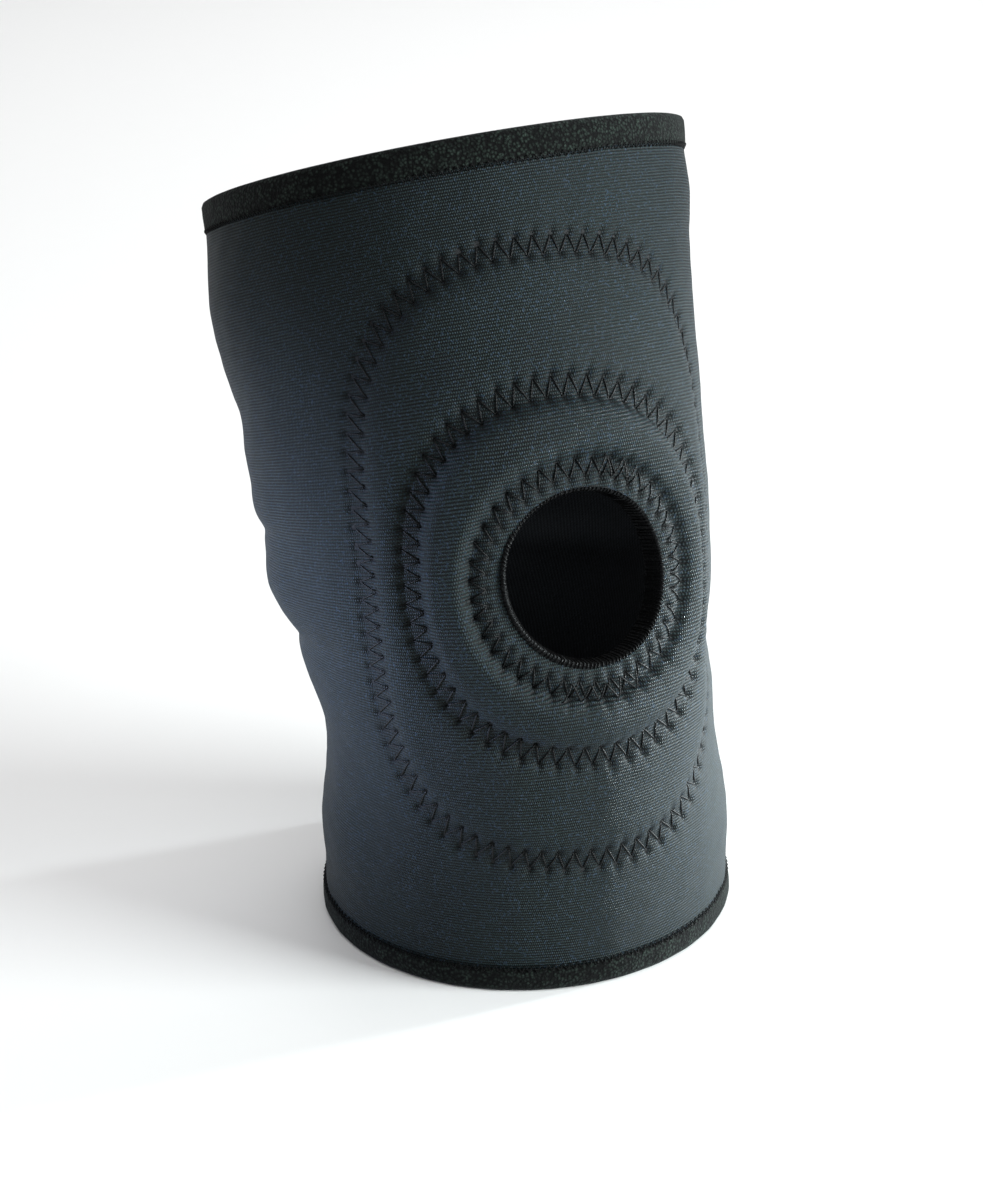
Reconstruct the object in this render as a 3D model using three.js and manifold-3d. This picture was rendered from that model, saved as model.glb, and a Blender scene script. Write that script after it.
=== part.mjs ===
// Open-patella knee brace: a pull-on neoprene sleeve with a sewn-in ring buttress.
//
// The frame is in millimetres with +Z up. The calf hem lies on z = 0, the kneecap side
// faces -Y and the back of the knee faces +Y. The sleeve is shaped as it is worn.
//
// A place on the sleeve is { s, phi }: s is the distance from the calf hem along the
// leg's centre line, and phi is the angle round the leg from the front, towards +X.
// A depth d is measured outwards from the knitted face; the laminate lies at d < 0.

import * as THREE from 'three';
import { mergeVertices } from 'three/addons/utils/BufferGeometryUtils.js';
import { ParametricGeometry } from 'three/addons/geometries/ParametricGeometry.js';
import Module from 'manifold-3d';

const wasm = await Module();
wasm.setup();

// ---------------------------------------------------------------- driving dimensions

const LENGTH = 239;
const KNEE_AT = 120.5;
const PRE_BEND = THREE.MathUtils.degToRad(23);
const BEND_FROM = 35.5;
const BEND_TO = 196;

// Half widths, half depths and sideways shifts at five even steps, calf hem to thigh hem.
const HALF_WIDTHS = [65, 61.4, 66.5, 71.8, 74.4];
const HALF_DEPTHS = [63.8, 62, 74.5, 72.5, 72.9];
const SIDE_SHIFTS = [7.2, 5.6, 0, 0.5, 5.3];

// Depths of the laminate's layers, outer side then inner side.
const FACE = [0, -0.5];
const FOAM = [-1.5, -4.0];
const LINING = [-4.6, -5.1];
const PAD_FLOOR = -0.5;
const LAYER_GAP = 0.4;

// Outlines round the kneecap. Across is arc length round the leg, up is along the leg.
const OPENING = { across: 0.6, up: 0.2, width: 27.8, height: 20.8, power: 2, tilt: -6 };
const INNER_STITCH = { across: -0.7, up: -0.2, width: 35.2, height: 26.8, power: 2, tilt: -2 };
const MIDDLE_STITCH = { across: -2.9, up: 0.3, width: 52.6, height: 46.1, power: 2.15, tilt: -7 };
const OUTER_STITCH = { across: -5.3, up: 3.2, width: 65.2, height: 81.3, power: 2.65, tilt: -5 };

const PAD_BED = 0.9;
const OUTER_PAD_RISE = 1.6;
const BUTTRESS_RISE = 3.8;
const PAD_ROLL = 6;
const STITCH_HALF_WIDTHS = { inner: 2.5, middle: 3, outer: 3.2 };
const STITCH_MARGIN = 3.4;

const THREAD_RADIUS = 0.3;
const THREAD_LIFT = 0.5;
const STITCH_PITCH = 5.4;
const SEAM_STITCH_HALF_WIDTH = 2;
const SEAM_STITCH_PITCH = 6;

const CALF_BINDING_WIDTH = 7.6;
const THIGH_BINDING_WIDTH = 9.2;
const BINDING_THICKNESS = 0.7;
const BINDING_GAP = 0.3;
const HEM_INSET = 1.1;
const HEM_STITCH_INSET = 1.3;

const OPENING_WALL = 0.9;
const OPENING_FLANGE = 2.3;

// The foam is cut at the knee so that the thigh and calf lengths can turn freely.
const KNEE_CUT = { upperFront: 153, upperBack: 195, lowerFront: 87, lowerBack: 47 };
const CUT_GAP = 0.4;

const COLUMNS = 40;
const COLUMN = (2 * Math.PI) / COLUMNS;
const PATCH_COLUMNS = [-8, 7];
const PATCH_ROWS = [31, 218];
const PATCH_ROW_COUNT = 11;

const COLOURS = {
  face: 0x3a444a,
  foam: 0x17191b,
  lining: 0x24292d,
  pad: 0x2c3034,
  binding: 0x191d1f,
  thread: 0x14171a,
};

// ---------------------------------------------------------------- the leg's form

const clamp01 = (t) => Math.min(1, Math.max(0, t));
const ease = (t) => clamp01(t) ** 2 * (3 - 2 * clamp01(t));

// A smooth curve through evenly spaced values, read at t from 0 to 1.
function along(values, t) {
  const last = values.length - 1;
  const place = clamp01(t) * last;
  const i = Math.min(last - 1, Math.floor(place));
  const f = place - i;
  const [a, b] = [values[i], values[i + 1]];
  const slopeA = i > 0 ? (b - values[i - 1]) / 2 : b - a;
  const slopeB = i < last - 1 ? (values[i + 2] - a) / 2 : b - a;
  const bow = (slopeA - (b - a)) * (1 - f) - (slopeB - (b - a)) * f;
  return a + (b - a) * f + f * (1 - f) * bow;
}

const lean = (s) => PRE_BEND * ease((s - BEND_FROM) / (BEND_TO - BEND_FROM));

// The centre line, one point per millimetre from the calf hem up.
const centreLine = [new THREE.Vector2(0, 0)];
for (let s = 1; s <= LENGTH; s += 1) {
  const before = centreLine[s - 1];
  const angle = lean(s - 0.5);
  centreLine.push(new THREE.Vector2(before.x + Math.sin(angle), before.y + Math.cos(angle)));
}

function centre(s) {
  const i = Math.min(LENGTH - 1, Math.floor(s));
  const point = centreLine[i].clone().lerp(centreLine[i + 1], s - i);
  return new THREE.Vector3(along(SIDE_SHIFTS, s / LENGTH), point.x, point.y);
}

function onSleeve({ s, phi }, d) {
  const wide = (along(HALF_WIDTHS, s / LENGTH) + d) * Math.sin(phi);
  const deep = (along(HALF_DEPTHS, s / LENGTH) + d) * Math.cos(phi);
  const forward = new THREE.Vector3(0, -Math.cos(lean(s)), Math.sin(lean(s)));
  return centre(s).addScaledVector(forward, deep).add(new THREE.Vector3(wide, 0, 0));
}

function outward(place) {
  return onSleeve(place, 1).sub(onSleeve(place, 0)).normalize();
}

// ---------------------------------------------------------------- outlines at the kneecap

// The radius that turns arc length round the leg into an angle.
function girthRadius(s) {
  const t = s / LENGTH;
  return (along(HALF_WIDTHS, t) + along(HALF_DEPTHS, t)) / 2;
}

function placeAt(across, up) {
  const s = KNEE_AT + up;
  return { s, phi: across / girthRadius(s) };
}

// A point on an outline, grown outwards by `grow` millimetres: [across, up].
function outlinePoint(outline, angle, grow = 0) {
  const [c, n] = [Math.cos(angle), Math.sin(angle)];
  const reach = (Math.abs(c) ** outline.power + Math.abs(n) ** outline.power) ** (-1 / outline.power);
  const point = new THREE.Vector2((outline.width + grow) * c, (outline.height + grow) * n);
  point.multiplyScalar(reach).rotateAround(new THREE.Vector2(), THREE.MathUtils.degToRad(outline.tilt));
  return point.add(new THREE.Vector2(outline.across, outline.up));
}

// How far a point lies inside an outline, in millimetres; negative outside it.
function inside(outline, point) {
  const local = point.clone().sub(new THREE.Vector2(outline.across, outline.up));
  local.rotateAround(new THREE.Vector2(), -THREE.MathUtils.degToRad(outline.tilt));
  const [x, y] = [Math.abs(local.x) / outline.width, Math.abs(local.y) / outline.height];
  const level = (x ** outline.power + y ** outline.power) ** (1 / outline.power);
  return (local.length() / Math.max(level, 1e-6)) * (1 - level);
}

// A pad's rounded shoulder: 0 at its edge, 1 where it is at full height.
const shoulder = (t) => Math.sin((clamp01(t / PAD_ROLL) * Math.PI) / 2);

// How far the pads lift the knitted face above the plain sleeve.
function lift(point) {
  const [outer, middle] = [inside(OUTER_STITCH, point), inside(MIDDLE_STITCH, point)];
  const past = (distance) => distance - STITCH_MARGIN;
  const ring = shoulder(past(outer)) * shoulder(past(-middle));
  const buttress = shoulder(past(middle)) * shoulder(past(-inside(INNER_STITCH, point)));
  const bed = PAD_BED * ease((outer + STITCH_MARGIN) / (2 * STITCH_MARGIN));
  return bed + OUTER_PAD_RISE * ring + BUTTRESS_RISE * buttress;
}

// ---------------------------------------------------------------- mesh building

// Welds a surface into one closed body with its faces pointing out.
function closedBody(geometry) {
  const bare = new THREE.BufferGeometry();
  bare.setAttribute('position', geometry.getAttribute('position'));
  bare.setIndex(geometry.getIndex());
  const welded = mergeVertices(bare, 1e-4);
  const positions = welded.getAttribute('position');
  const corners = Array.from(welded.getIndex().array);
  const kept = [];
  let volume = 0;
  for (let i = 0; i < corners.length; i += 3) {
    const triangle = corners.slice(i, i + 3);
    if (new Set(triangle).size === 3) {
      const [a, b, c] = triangle.map((j) => new THREE.Vector3().fromBufferAttribute(positions, j));
      volume += a.dot(b.cross(c));
      kept.push(triangle);
    }
  }
  const outwardFacing = volume > 0 ? kept : kept.map((triangle) => triangle.reverse());
  welded.setIndex(outwardFacing.flat());
  welded.computeVertexNormals();
  return welded;
}

// A ring or closed tube: section points joined to the next, swept once round.
// point(turn, side) gives a position for turn from 0 to 1 and side from 0 to sides - 1.
function sweptRing(point, steps, sides) {
  const surface = (u, v, target) => {
    const turn = (Math.round(u * steps) % steps) / steps;
    target.copy(point(turn, Math.round(v * sides) % sides));
  };
  return closedBody(new ParametricGeometry(surface, steps, sides));
}

// A band that goes round the leg, from a section of [s, d] corners.
// An s may be a number or a function of phi.
function legBand(section) {
  return sweptRing((turn, side) => {
    const phi = turn * 2 * Math.PI;
    const [s, d] = section[side];
    return onSleeve({ s: typeof s === 'function' ? s(phi) : s, phi }, d);
  }, COLUMNS, section.length);
}

// A layer of the sleeve between two heights, in the given number of rows.
function legLayer(from, to, [outerDepth, innerDepth], rows) {
  const at = (t) => (phi) => from(phi) + (to(phi) - from(phi)) * t;
  const steps = Array.from({ length: rows + 1 }, (_, i) => at(i / rows));
  const outer = steps.map((s) => [s, outerDepth]);
  const inner = steps.map((s) => [s, innerDepth]).reverse();
  return legBand([...outer, ...inner]);
}

function asSolid(geometry) {
  return new wasm.Manifold(new wasm.Mesh({
    numProp: 3,
    vertProperties: Float32Array.from(geometry.getAttribute('position').array),
    triVerts: Uint32Array.from(geometry.getIndex().array),
  }));
}

function asGeometry(solid) {
  const mesh = solid.getMesh();
  const geometry = new THREE.BufferGeometry();
  geometry.setAttribute('position', new THREE.BufferAttribute(mesh.vertProperties, 3));
  geometry.setIndex(new THREE.BufferAttribute(mesh.triVerts, 1));
  return closedBody(geometry);
}

// ---------------------------------------------------------------- the patch round the kneecap

// Angles that spread the outlines' points to match the patch's border.
const patchBorder = borderPlaces();
const patchAngles = patchBorder.map(({ s, phi }) => {
  const middleS = (PATCH_ROWS[0] + PATCH_ROWS[1]) / 2;
  const middlePhi = ((PATCH_COLUMNS[0] + PATCH_COLUMNS[1]) / 2) * COLUMN;
  const halfS = (PATCH_ROWS[1] - PATCH_ROWS[0]) / 2;
  const halfPhi = ((PATCH_COLUMNS[1] - PATCH_COLUMNS[0]) / 2) * COLUMN;
  return Math.atan2((s - middleS) / halfS, (phi - middlePhi) / halfPhi);
});

// The patch's border on the leg's grid, anticlockwise as seen from the front.
function borderPlaces() {
  const [left, right] = PATCH_COLUMNS;
  const rowAt = (j) => PATCH_ROWS[0] + ((PATCH_ROWS[1] - PATCH_ROWS[0]) * j) / PATCH_ROW_COUNT;
  const places = [];
  for (let j = 0; j < PATCH_ROW_COUNT; j += 1) places.push({ s: rowAt(j), phi: right * COLUMN });
  for (let i = right; i > left; i -= 1) places.push({ s: PATCH_ROWS[1], phi: i * COLUMN });
  for (let j = PATCH_ROW_COUNT; j > 0; j -= 1) places.push({ s: rowAt(j), phi: left * COLUMN });
  for (let i = left; i < right; i += 1) places.push({ s: PATCH_ROWS[0], phi: i * COLUMN });
  return places;
}

// A point part of the way from one grown outline to another, as [across, up].
function between([outlineA, growA], [outlineB, growB], t, angle) {
  return outlinePoint(outlineA, angle, growA).lerp(outlinePoint(outlineB, angle, growB), t);
}

function placeOf(point) {
  return placeAt(point.x, point.y);
}

function pointOf({ s, phi }) {
  return new THREE.Vector2(phi * girthRadius(s), s - KNEE_AT);
}

const OUTER_EDGE = [OUTER_STITCH, -STITCH_MARGIN];
const RING_INNER_EDGE = [MIDDLE_STITCH, STITCH_MARGIN];
const BUTTRESS_EDGE = [MIDDLE_STITCH, -STITCH_MARGIN];
const BUTTRESS_INNER_EDGE = [INNER_STITCH, STITCH_MARGIN];

// The rings of the knitted face from the patch's border in to the opening.
const FACE_RINGS = [
  (angle, border) => outlinePoint(OUTER_STITCH, angle, STITCH_MARGIN).lerp(border, 0.66),
  (angle, border) => outlinePoint(OUTER_STITCH, angle, STITCH_MARGIN).lerp(border, 0.33),
  (angle) => outlinePoint(OUTER_STITCH, angle, STITCH_MARGIN),
  (angle) => outlinePoint(OUTER_STITCH, angle, -STITCH_MARGIN),
  (angle) => between(OUTER_EDGE, RING_INNER_EDGE, 0.3, angle),
  (angle) => between(OUTER_EDGE, RING_INNER_EDGE, 0.7, angle),
  (angle) => outlinePoint(MIDDLE_STITCH, angle, STITCH_MARGIN),
  (angle) => outlinePoint(MIDDLE_STITCH, angle, -STITCH_MARGIN),
  (angle) => between(BUTTRESS_EDGE, BUTTRESS_INNER_EDGE, 0.25, angle),
  (angle) => between(BUTTRESS_EDGE, BUTTRESS_INNER_EDGE, 0.75, angle),
  (angle) => outlinePoint(INNER_STITCH, angle, STITCH_MARGIN),
  (angle) => outlinePoint(INNER_STITCH, angle, -STITCH_MARGIN),
  (angle) => outlinePoint(OPENING, angle, OPENING_WALL + LAYER_GAP),
];

// ---------------------------------------------------------------- the knitted face

function faceCells() {
  const [left, right] = PATCH_COLUMNS;
  const patchRows = Array.from({ length: PATCH_ROW_COUNT + 1 }, (_, j) => (
    PATCH_ROWS[0] + ((PATCH_ROWS[1] - PATCH_ROWS[0]) * j) / PATCH_ROW_COUNT
  ));
  const rows = [HEM_INSET, 15, ...patchRows, LENGTH - HEM_INSET];
  const cells = [];
  for (let j = 0; j + 1 < rows.length; j += 1) {
    const onPatch = rows[j] >= PATCH_ROWS[0] && rows[j + 1] <= PATCH_ROWS[1];
    for (let i = -COLUMNS / 2; i < COLUMNS / 2; i += 1) {
      if (!(onPatch && i >= left && i < right)) {
        const corner = (di, dj) => ({ s: rows[j + dj], phi: (i + di) * COLUMN, rise: 0 });
        cells.push([corner(0, 0), corner(1, 0), corner(1, 1), corner(0, 1)]);
      }
    }
  }
  const rings = [patchBorder.map((place) => ({ ...place, rise: 0 }))];
  FACE_RINGS.forEach((ring) => rings.push(patchAngles.map((angle, i) => {
    const point = ring(angle, pointOf(patchBorder[i]));
    return { ...placeOf(point), rise: lift(point) };
  })));
  for (let k = 0; k + 1 < rings.length; k += 1) {
    patchAngles.forEach((_, i) => {
      const next = (i + 1) % patchAngles.length;
      cells.push([rings[k][i], rings[k][next], rings[k + 1][next], rings[k + 1][i]]);
    });
  }
  return cells;
}

// A skin over the cells, closed along every open edge.
function skin(cells, [outerDepth, innerDepth]) {
  const corners = [];
  const addQuad = (a, b, c, d) => [a, b, c, a, c, d].forEach((p) => corners.push(p.x, p.y, p.z));
  const outer = (place) => onSleeve(place, place.rise + outerDepth);
  const inner = (place) => onSleeve(place, place.rise + innerDepth);
  const nameOf = (place) => {
    const p = outer(place);
    return `${p.x.toFixed(3)},${p.y.toFixed(3)},${p.z.toFixed(3)}`;
  };
  const openEdges = new Map();
  for (const cell of cells) {
    addQuad(...cell.map(outer));
    addQuad(...cell.map(inner).reverse());
    cell.forEach((from, i) => {
      const to = cell[(i + 1) % cell.length];
      const [here, back] = [`${nameOf(from)}|${nameOf(to)}`, `${nameOf(to)}|${nameOf(from)}`];
      if (openEdges.has(back)) openEdges.delete(back);
      else openEdges.set(here, [from, to]);
    });
  }
  for (const [from, to] of openEdges.values()) addQuad(outer(to), outer(from), inner(from), inner(to));
  const geometry = new THREE.BufferGeometry();
  geometry.setAttribute('position', new THREE.Float32BufferAttribute(corners, 3));
  geometry.setIndex(Array.from({ length: corners.length / 3 }, (_, i) => i));
  return closedBody(geometry);
}

// ---------------------------------------------------------------- rings round the opening

// A ring round the kneecap from section corners { ring, d }: ring(angle) is [across, up].
function kneeRing(section) {
  const count = patchAngles.length;
  return sweptRing((turn, side) => {
    const { ring, d } = section[side];
    const point = ring(patchAngles[Math.round(turn * count)]);
    return onSleeve(placeOf(point), d(point));
  }, count, section.length);
}

// A pad between two outlines: flat below, and following the face above.
function pad(outerEdge, innerEdge, shoulders) {
  const top = (point) => lift(point) + FACE[1] - LAYER_GAP;
  const floor = () => PAD_FLOOR;
  const ringAt = (t) => (angle) => between(outerEdge, innerEdge, t, angle);
  const tops = [0, ...shoulders, 1].map((t) => ({ ring: ringAt(t), d: top }));
  return kneeRing([...tops, { ring: ringAt(1), d: floor }, { ring: ringAt(0), d: floor }]);
}

function openingBinding() {
  const faceSide = () => PAD_BED + BINDING_GAP;
  const liningSide = () => LINING[1] - 3 * BINDING_GAP;
  const rim = (amount) => () => PAD_BED + BINDING_GAP + amount;
  const under = () => LINING[1] - 3 * BINDING_GAP - BINDING_THICKNESS;
  const grown = (grow) => (angle) => outlinePoint(OPENING, angle, grow);
  return kneeRing([
    { ring: grown(0), d: under },
    { ring: grown(0), d: rim(BINDING_THICKNESS) },
    { ring: grown(OPENING_FLANGE), d: rim(BINDING_THICKNESS) },
    { ring: grown(OPENING_FLANGE), d: faceSide },
    { ring: grown(OPENING_WALL), d: faceSide },
    { ring: grown(OPENING_WALL), d: liningSide },
    { ring: grown(OPENING_FLANGE), d: liningSide },
    { ring: grown(OPENING_FLANGE), d: under },
  ]);
}

// The plug that cuts the opening through the foam and the lining.
function openingCutter() {
  const count = patchAngles.length;
  const ring = patchAngles.map((angle) => placeOf(outlinePoint(OPENING, angle, OPENING_WALL + LAYER_GAP)));
  const middle = placeAt(OPENING.across, OPENING.up);
  const depths = [LINING[1] - 3, FACE[0] + 2];
  const corners = [];
  const add = (...points) => points.forEach((p) => corners.push(p.x, p.y, p.z));
  for (let i = 0; i < count; i += 1) {
    const [here, next] = [ring[i], ring[(i + 1) % count]];
    const [lowHere, lowNext] = [onSleeve(here, depths[0]), onSleeve(next, depths[0])];
    const [highHere, highNext] = [onSleeve(here, depths[1]), onSleeve(next, depths[1])];
    add(lowHere, lowNext, highNext, lowHere, highNext, highHere);
    add(highHere, highNext, onSleeve(middle, depths[1]));
    add(lowNext, lowHere, onSleeve(middle, depths[0]));
  }
  const geometry = new THREE.BufferGeometry();
  geometry.setAttribute('position', new THREE.Float32BufferAttribute(corners, 3));
  geometry.setIndex(Array.from({ length: corners.length / 3 }, (_, i) => i));
  return closedBody(geometry);
}

function withOpening(geometry) {
  return asGeometry(asSolid(geometry).subtract(asSolid(openingCutter())));
}

// ---------------------------------------------------------------- stitching

// A flat-backed thread through the corners of a zigzag, each { position, normal }.
function thread(corners, closed) {
  const count = corners.length;
  const positionAt = (i) => corners[closed ? (i + count) % count : clampIndex(i, count)].position;
  const sections = corners.map(({ position, normal }, i) => {
    const arriving = position.clone().sub(positionAt(i - 1)).normalize();
    const leaving = positionAt(i + 1).clone().sub(position).normalize();
    const way = arriving.clone().add(leaving).normalize();
    const side = normal.clone().cross(way).normalize();
    const steepness = Math.max(arriving.dot(way), leaving.dot(way));
    const reach = THREAD_RADIUS / steepness;
    return [[normal, THREAD_RADIUS], [side, reach], [side, -reach]]
      .map(([direction, amount]) => position.clone().addScaledVector(direction, amount));
  });
  const tip = (place) => Array(3).fill(place);
  const whole = closed ? sections : [tip(positionAt(0)), ...sections, tip(positionAt(count - 1))];
  return sweptRing((turn, side) => whole[Math.round(turn * whole.length)][side], whole.length, 3);
}

function clampIndex(i, count) {
  return Math.min(count - 1, Math.max(0, i));
}

// A zigzag on the face, centred on an outline and evenly spaced along it.
function outlineZigzag(outline, halfWidth) {
  const fine = 720;
  const angleAt = (i) => (i / fine) * 2 * Math.PI;
  const onFace = (angle) => onSleeve(placeOf(outlinePoint(outline, angle)), 0);
  const travelled = [0];
  for (let i = 1; i <= fine; i += 1) {
    travelled.push(travelled[i - 1] + onFace(angleAt(i)).distanceTo(onFace(angleAt(i - 1))));
  }
  const count = 2 * Math.round(travelled[fine] / STITCH_PITCH);
  const corners = [];
  for (let k = 0; k < count; k += 1) {
    const target = (travelled[fine] * k) / count;
    const i = travelled.findIndex((length, j) => length <= target && travelled[j + 1] > target);
    const f = (target - travelled[i]) / (travelled[i + 1] - travelled[i]);
    const grow = k % 2 === 0 ? halfWidth : -halfWidth;
    const point = outlinePoint(outline, angleAt(i + f), grow);
    const place = placeOf(point);
    corners.push({ position: onSleeve(place, lift(point) + THREAD_LIFT), normal: outward(place) });
  }
  return thread(corners, true);
}

// The zigzag that closes the sleeve down the back of the leg.
function backSeamZigzag() {
  const [from, to] = [CALF_BINDING_WIDTH + 3, LENGTH - THIGH_BINDING_WIDTH - 3];
  const count = 2 * Math.round((to - from) / SEAM_STITCH_PITCH);
  const corners = [];
  for (let k = 0; k <= count; k += 1) {
    const s = from + ((to - from) * k) / count;
    const across = k % 2 === 0 ? SEAM_STITCH_HALF_WIDTH : -SEAM_STITCH_HALF_WIDTH;
    const place = { s, phi: Math.PI + across / girthRadius(s) };
    corners.push({ position: onSleeve(place, THREAD_LIFT), normal: outward(place) });
  }
  return thread(corners, false);
}

// ---------------------------------------------------------------- hems

const BINDING_OUTER = BINDING_GAP + BINDING_THICKNESS;
const BINDING_INNER = LINING[1] - BINDING_GAP - BINDING_THICKNESS;
const FOLD_ROUNDING = 0.4;

// Knit tape folded over the laminate's edge. `into` is +1 or -1, from the hem into the sleeve.
function hemBinding(hem, into, width) {
  const flange = hem + into * width;
  const web = hem + into * (HEM_INSET - BINDING_GAP);
  const corner = hem + into * FOLD_ROUNDING;
  return legBand([
    [flange, BINDING_GAP],
    [flange, BINDING_OUTER],
    [corner, BINDING_OUTER],
    [hem, BINDING_OUTER - FOLD_ROUNDING],
    [hem, BINDING_INNER + FOLD_ROUNDING],
    [corner, BINDING_INNER],
    [flange, BINDING_INNER],
    [flange, LINING[1] - BINDING_GAP],
    [web, LINING[1] - BINDING_GAP],
    [web, BINDING_GAP],
  ]);
}

function hemStitch(hem, into, width) {
  const s = hem + into * (width - HEM_STITCH_INSET);
  const d = BINDING_OUTER + THREAD_LIFT;
  return legBand([
    [s - THREAD_RADIUS, d],
    [s, d + THREAD_RADIUS],
    [s + THREAD_RADIUS, d],
    [s, d - THREAD_RADIUS],
  ]);
}

// ---------------------------------------------------------------- foam and lining

const middleOf = (front, back) => (phi) => (front + back) / 2 + ((front - back) / 2) * Math.cos(phi);
const upperCut = middleOf(KNEE_CUT.upperFront, KNEE_CUT.upperBack);
const lowerCut = middleOf(KNEE_CUT.lowerFront, KNEE_CUT.lowerBack);
const calfEdge = () => HEM_INSET;
const thighEdge = () => LENGTH - HEM_INSET;

// ---------------------------------------------------------------- the whole brace

function piece(name, geometry, colour, roughness) {
  const material = new THREE.MeshStandardMaterial({ color: colour, roughness, metalness: 0 });
  const mesh = new THREE.Mesh(geometry, material);
  mesh.name = name;
  return mesh;
}

const fabric = (name, geometry, colour) => piece(name, geometry, colour, 0.85);
const foam = (name, geometry) => piece(name, geometry, COLOURS.foam, 0.95);
const sewn = (name, geometry) => piece(name, geometry, COLOURS.thread, 0.55);

const calf = new THREE.Group();
calf.add(
  foam('sleeve_foam_calf', legLayer(calfEdge, (phi) => lowerCut(phi) - CUT_GAP, FOAM, 5)),
  fabric('calf_binding', hemBinding(0, 1, CALF_BINDING_WIDTH), COLOURS.binding),
  sewn('calf_hem_stitch', hemStitch(0, 1, CALF_BINDING_WIDTH)),
);

const thigh = new THREE.Group();
thigh.add(
  foam('sleeve_foam_thigh', legLayer((phi) => upperCut(phi) + CUT_GAP, thighEdge, FOAM, 3)),
  fabric('thigh_binding', hemBinding(LENGTH, -1, THIGH_BINDING_WIDTH), COLOURS.binding),
  sewn('thigh_hem_stitch', hemStitch(LENGTH, -1, THIGH_BINDING_WIDTH)),
);

const knee = new THREE.Group();
knee.add(
  foam('sleeve_foam_knee', withOpening(legLayer(lowerCut, upperCut, FOAM, 6))),
  fabric('sleeve_face', skin(faceCells(), FACE), COLOURS.face),
  fabric('sleeve_lining', withOpening(legLayer(calfEdge, thighEdge, LINING, 12)), COLOURS.lining),
  foam('outer_pad', pad(OUTER_EDGE, RING_INNER_EDGE, [0.3, 0.7])),
  foam('buttress_pad', pad(BUTTRESS_EDGE, BUTTRESS_INNER_EDGE, [0.25, 0.75])),
  fabric('opening_binding', openingBinding(), COLOURS.binding),
  sewn('outer_zigzag', outlineZigzag(OUTER_STITCH, STITCH_HALF_WIDTHS.outer)),
  sewn('middle_zigzag', outlineZigzag(MIDDLE_STITCH, STITCH_HALF_WIDTHS.middle)),
  sewn('inner_zigzag', outlineZigzag(INNER_STITCH, STITCH_HALF_WIDTHS.inner)),
  sewn('back_seam_zigzag', backSeamZigzag()),
);

// The origin is under the middle of the brace's bounding box.
const brace = new THREE.Group();
brace.add(calf, knee, thigh);
const middleOfBox = new THREE.Box3().setFromObject(brace).getCenter(new THREE.Vector3());
brace.position.set(-middleOfBox.x, -middleOfBox.y, 0);

export default brace;
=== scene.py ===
"""Looks of the open-patella knee brace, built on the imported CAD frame.

Lengths in the driving dimensions are millimetres, as in the CAD; meshes are metres.
A place on the sleeve is (s, phi): s is the distance from the calf hem along the leg's
centre line, phi the angle round the leg from the kneecap side towards +X. Heights are
measured outwards from the plain knitted face.
"""

import math

import bmesh
import bpy
import numpy as np
from mathutils import Matrix, Vector


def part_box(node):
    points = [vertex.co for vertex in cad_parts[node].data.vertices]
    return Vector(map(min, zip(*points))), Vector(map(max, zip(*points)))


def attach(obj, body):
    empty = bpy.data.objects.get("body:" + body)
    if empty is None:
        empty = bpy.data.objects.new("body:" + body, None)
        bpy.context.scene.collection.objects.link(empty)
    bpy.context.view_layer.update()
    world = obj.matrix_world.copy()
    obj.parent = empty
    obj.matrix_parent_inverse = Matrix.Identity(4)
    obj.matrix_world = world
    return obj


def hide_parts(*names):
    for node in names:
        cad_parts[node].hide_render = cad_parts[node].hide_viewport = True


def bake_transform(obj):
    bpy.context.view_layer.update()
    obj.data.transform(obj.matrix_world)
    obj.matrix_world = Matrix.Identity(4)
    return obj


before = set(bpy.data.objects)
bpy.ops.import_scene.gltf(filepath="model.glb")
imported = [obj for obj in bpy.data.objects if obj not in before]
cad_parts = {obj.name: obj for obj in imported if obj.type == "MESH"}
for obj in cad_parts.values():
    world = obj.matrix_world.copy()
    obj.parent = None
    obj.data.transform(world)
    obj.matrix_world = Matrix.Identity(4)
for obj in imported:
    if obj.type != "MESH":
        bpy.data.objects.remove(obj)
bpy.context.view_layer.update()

# ------------------------------------------------------------------ driving dimensions

MM = 0.001

LENGTH = 239.0
KNEE_AT = 120.5
PRE_BEND = math.radians(23)
BEND_FROM, BEND_TO = 35.5, 196.0
HALF_WIDTHS = (65.0, 61.4, 66.5, 71.8, 74.4)
HALF_DEPTHS = (63.8, 62.0, 74.5, 72.5, 72.9)
SIDE_SHIFTS = (7.2, 5.6, 0.0, 0.5, 5.3)
MEAN_RADIUS = 70.0

# Outlines round the kneecap: centre across and up, half width, half height, roundness, tilt.
OPENING = (0.6, 0.2, 27.8, 20.8, 2.0, -6.0)
INNER_STITCH = (-0.7, -0.2, 35.2, 26.8, 2.0, -2.0)
MIDDLE_STITCH = (-2.9, 0.3, 52.6, 46.1, 2.15, -7.0)
OUTER_STITCH = (-5.3, 3.2, 65.2, 81.3, 2.65, -5.0)

PAD_BED = 0.9
OUTER_PAD_RISE = 1.6
BUTTRESS_RISE = 3.8
OUTER_ROLL = 7.0
BUTTRESS_ROLL = 5.0
BUTTRESS_INNER_ROLL = 6.5
# How far a pad's shoulder starts from a stitch line, and the depth and width of the channel there.
CHANNEL = 3.0
INNER_CHANNEL = 2.6
CHANNEL_DEPTH, CHANNEL_WIDTH = 0.55, 2.6
# How far inside its stitch lines a pad's foam ends, and how much knit and glue lies over it.
PAD_EDGE = 3.4
PAD_COVER = 0.75

FOAM_OUTER, FOAM_INNER = -1.0, -4.1
LINING_DEPTH = -4.7
# How far from the hems the face, and the core and lining, end inside the tape.
FACE_INSET, CORE_INSET = 1.3, 1.6

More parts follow.
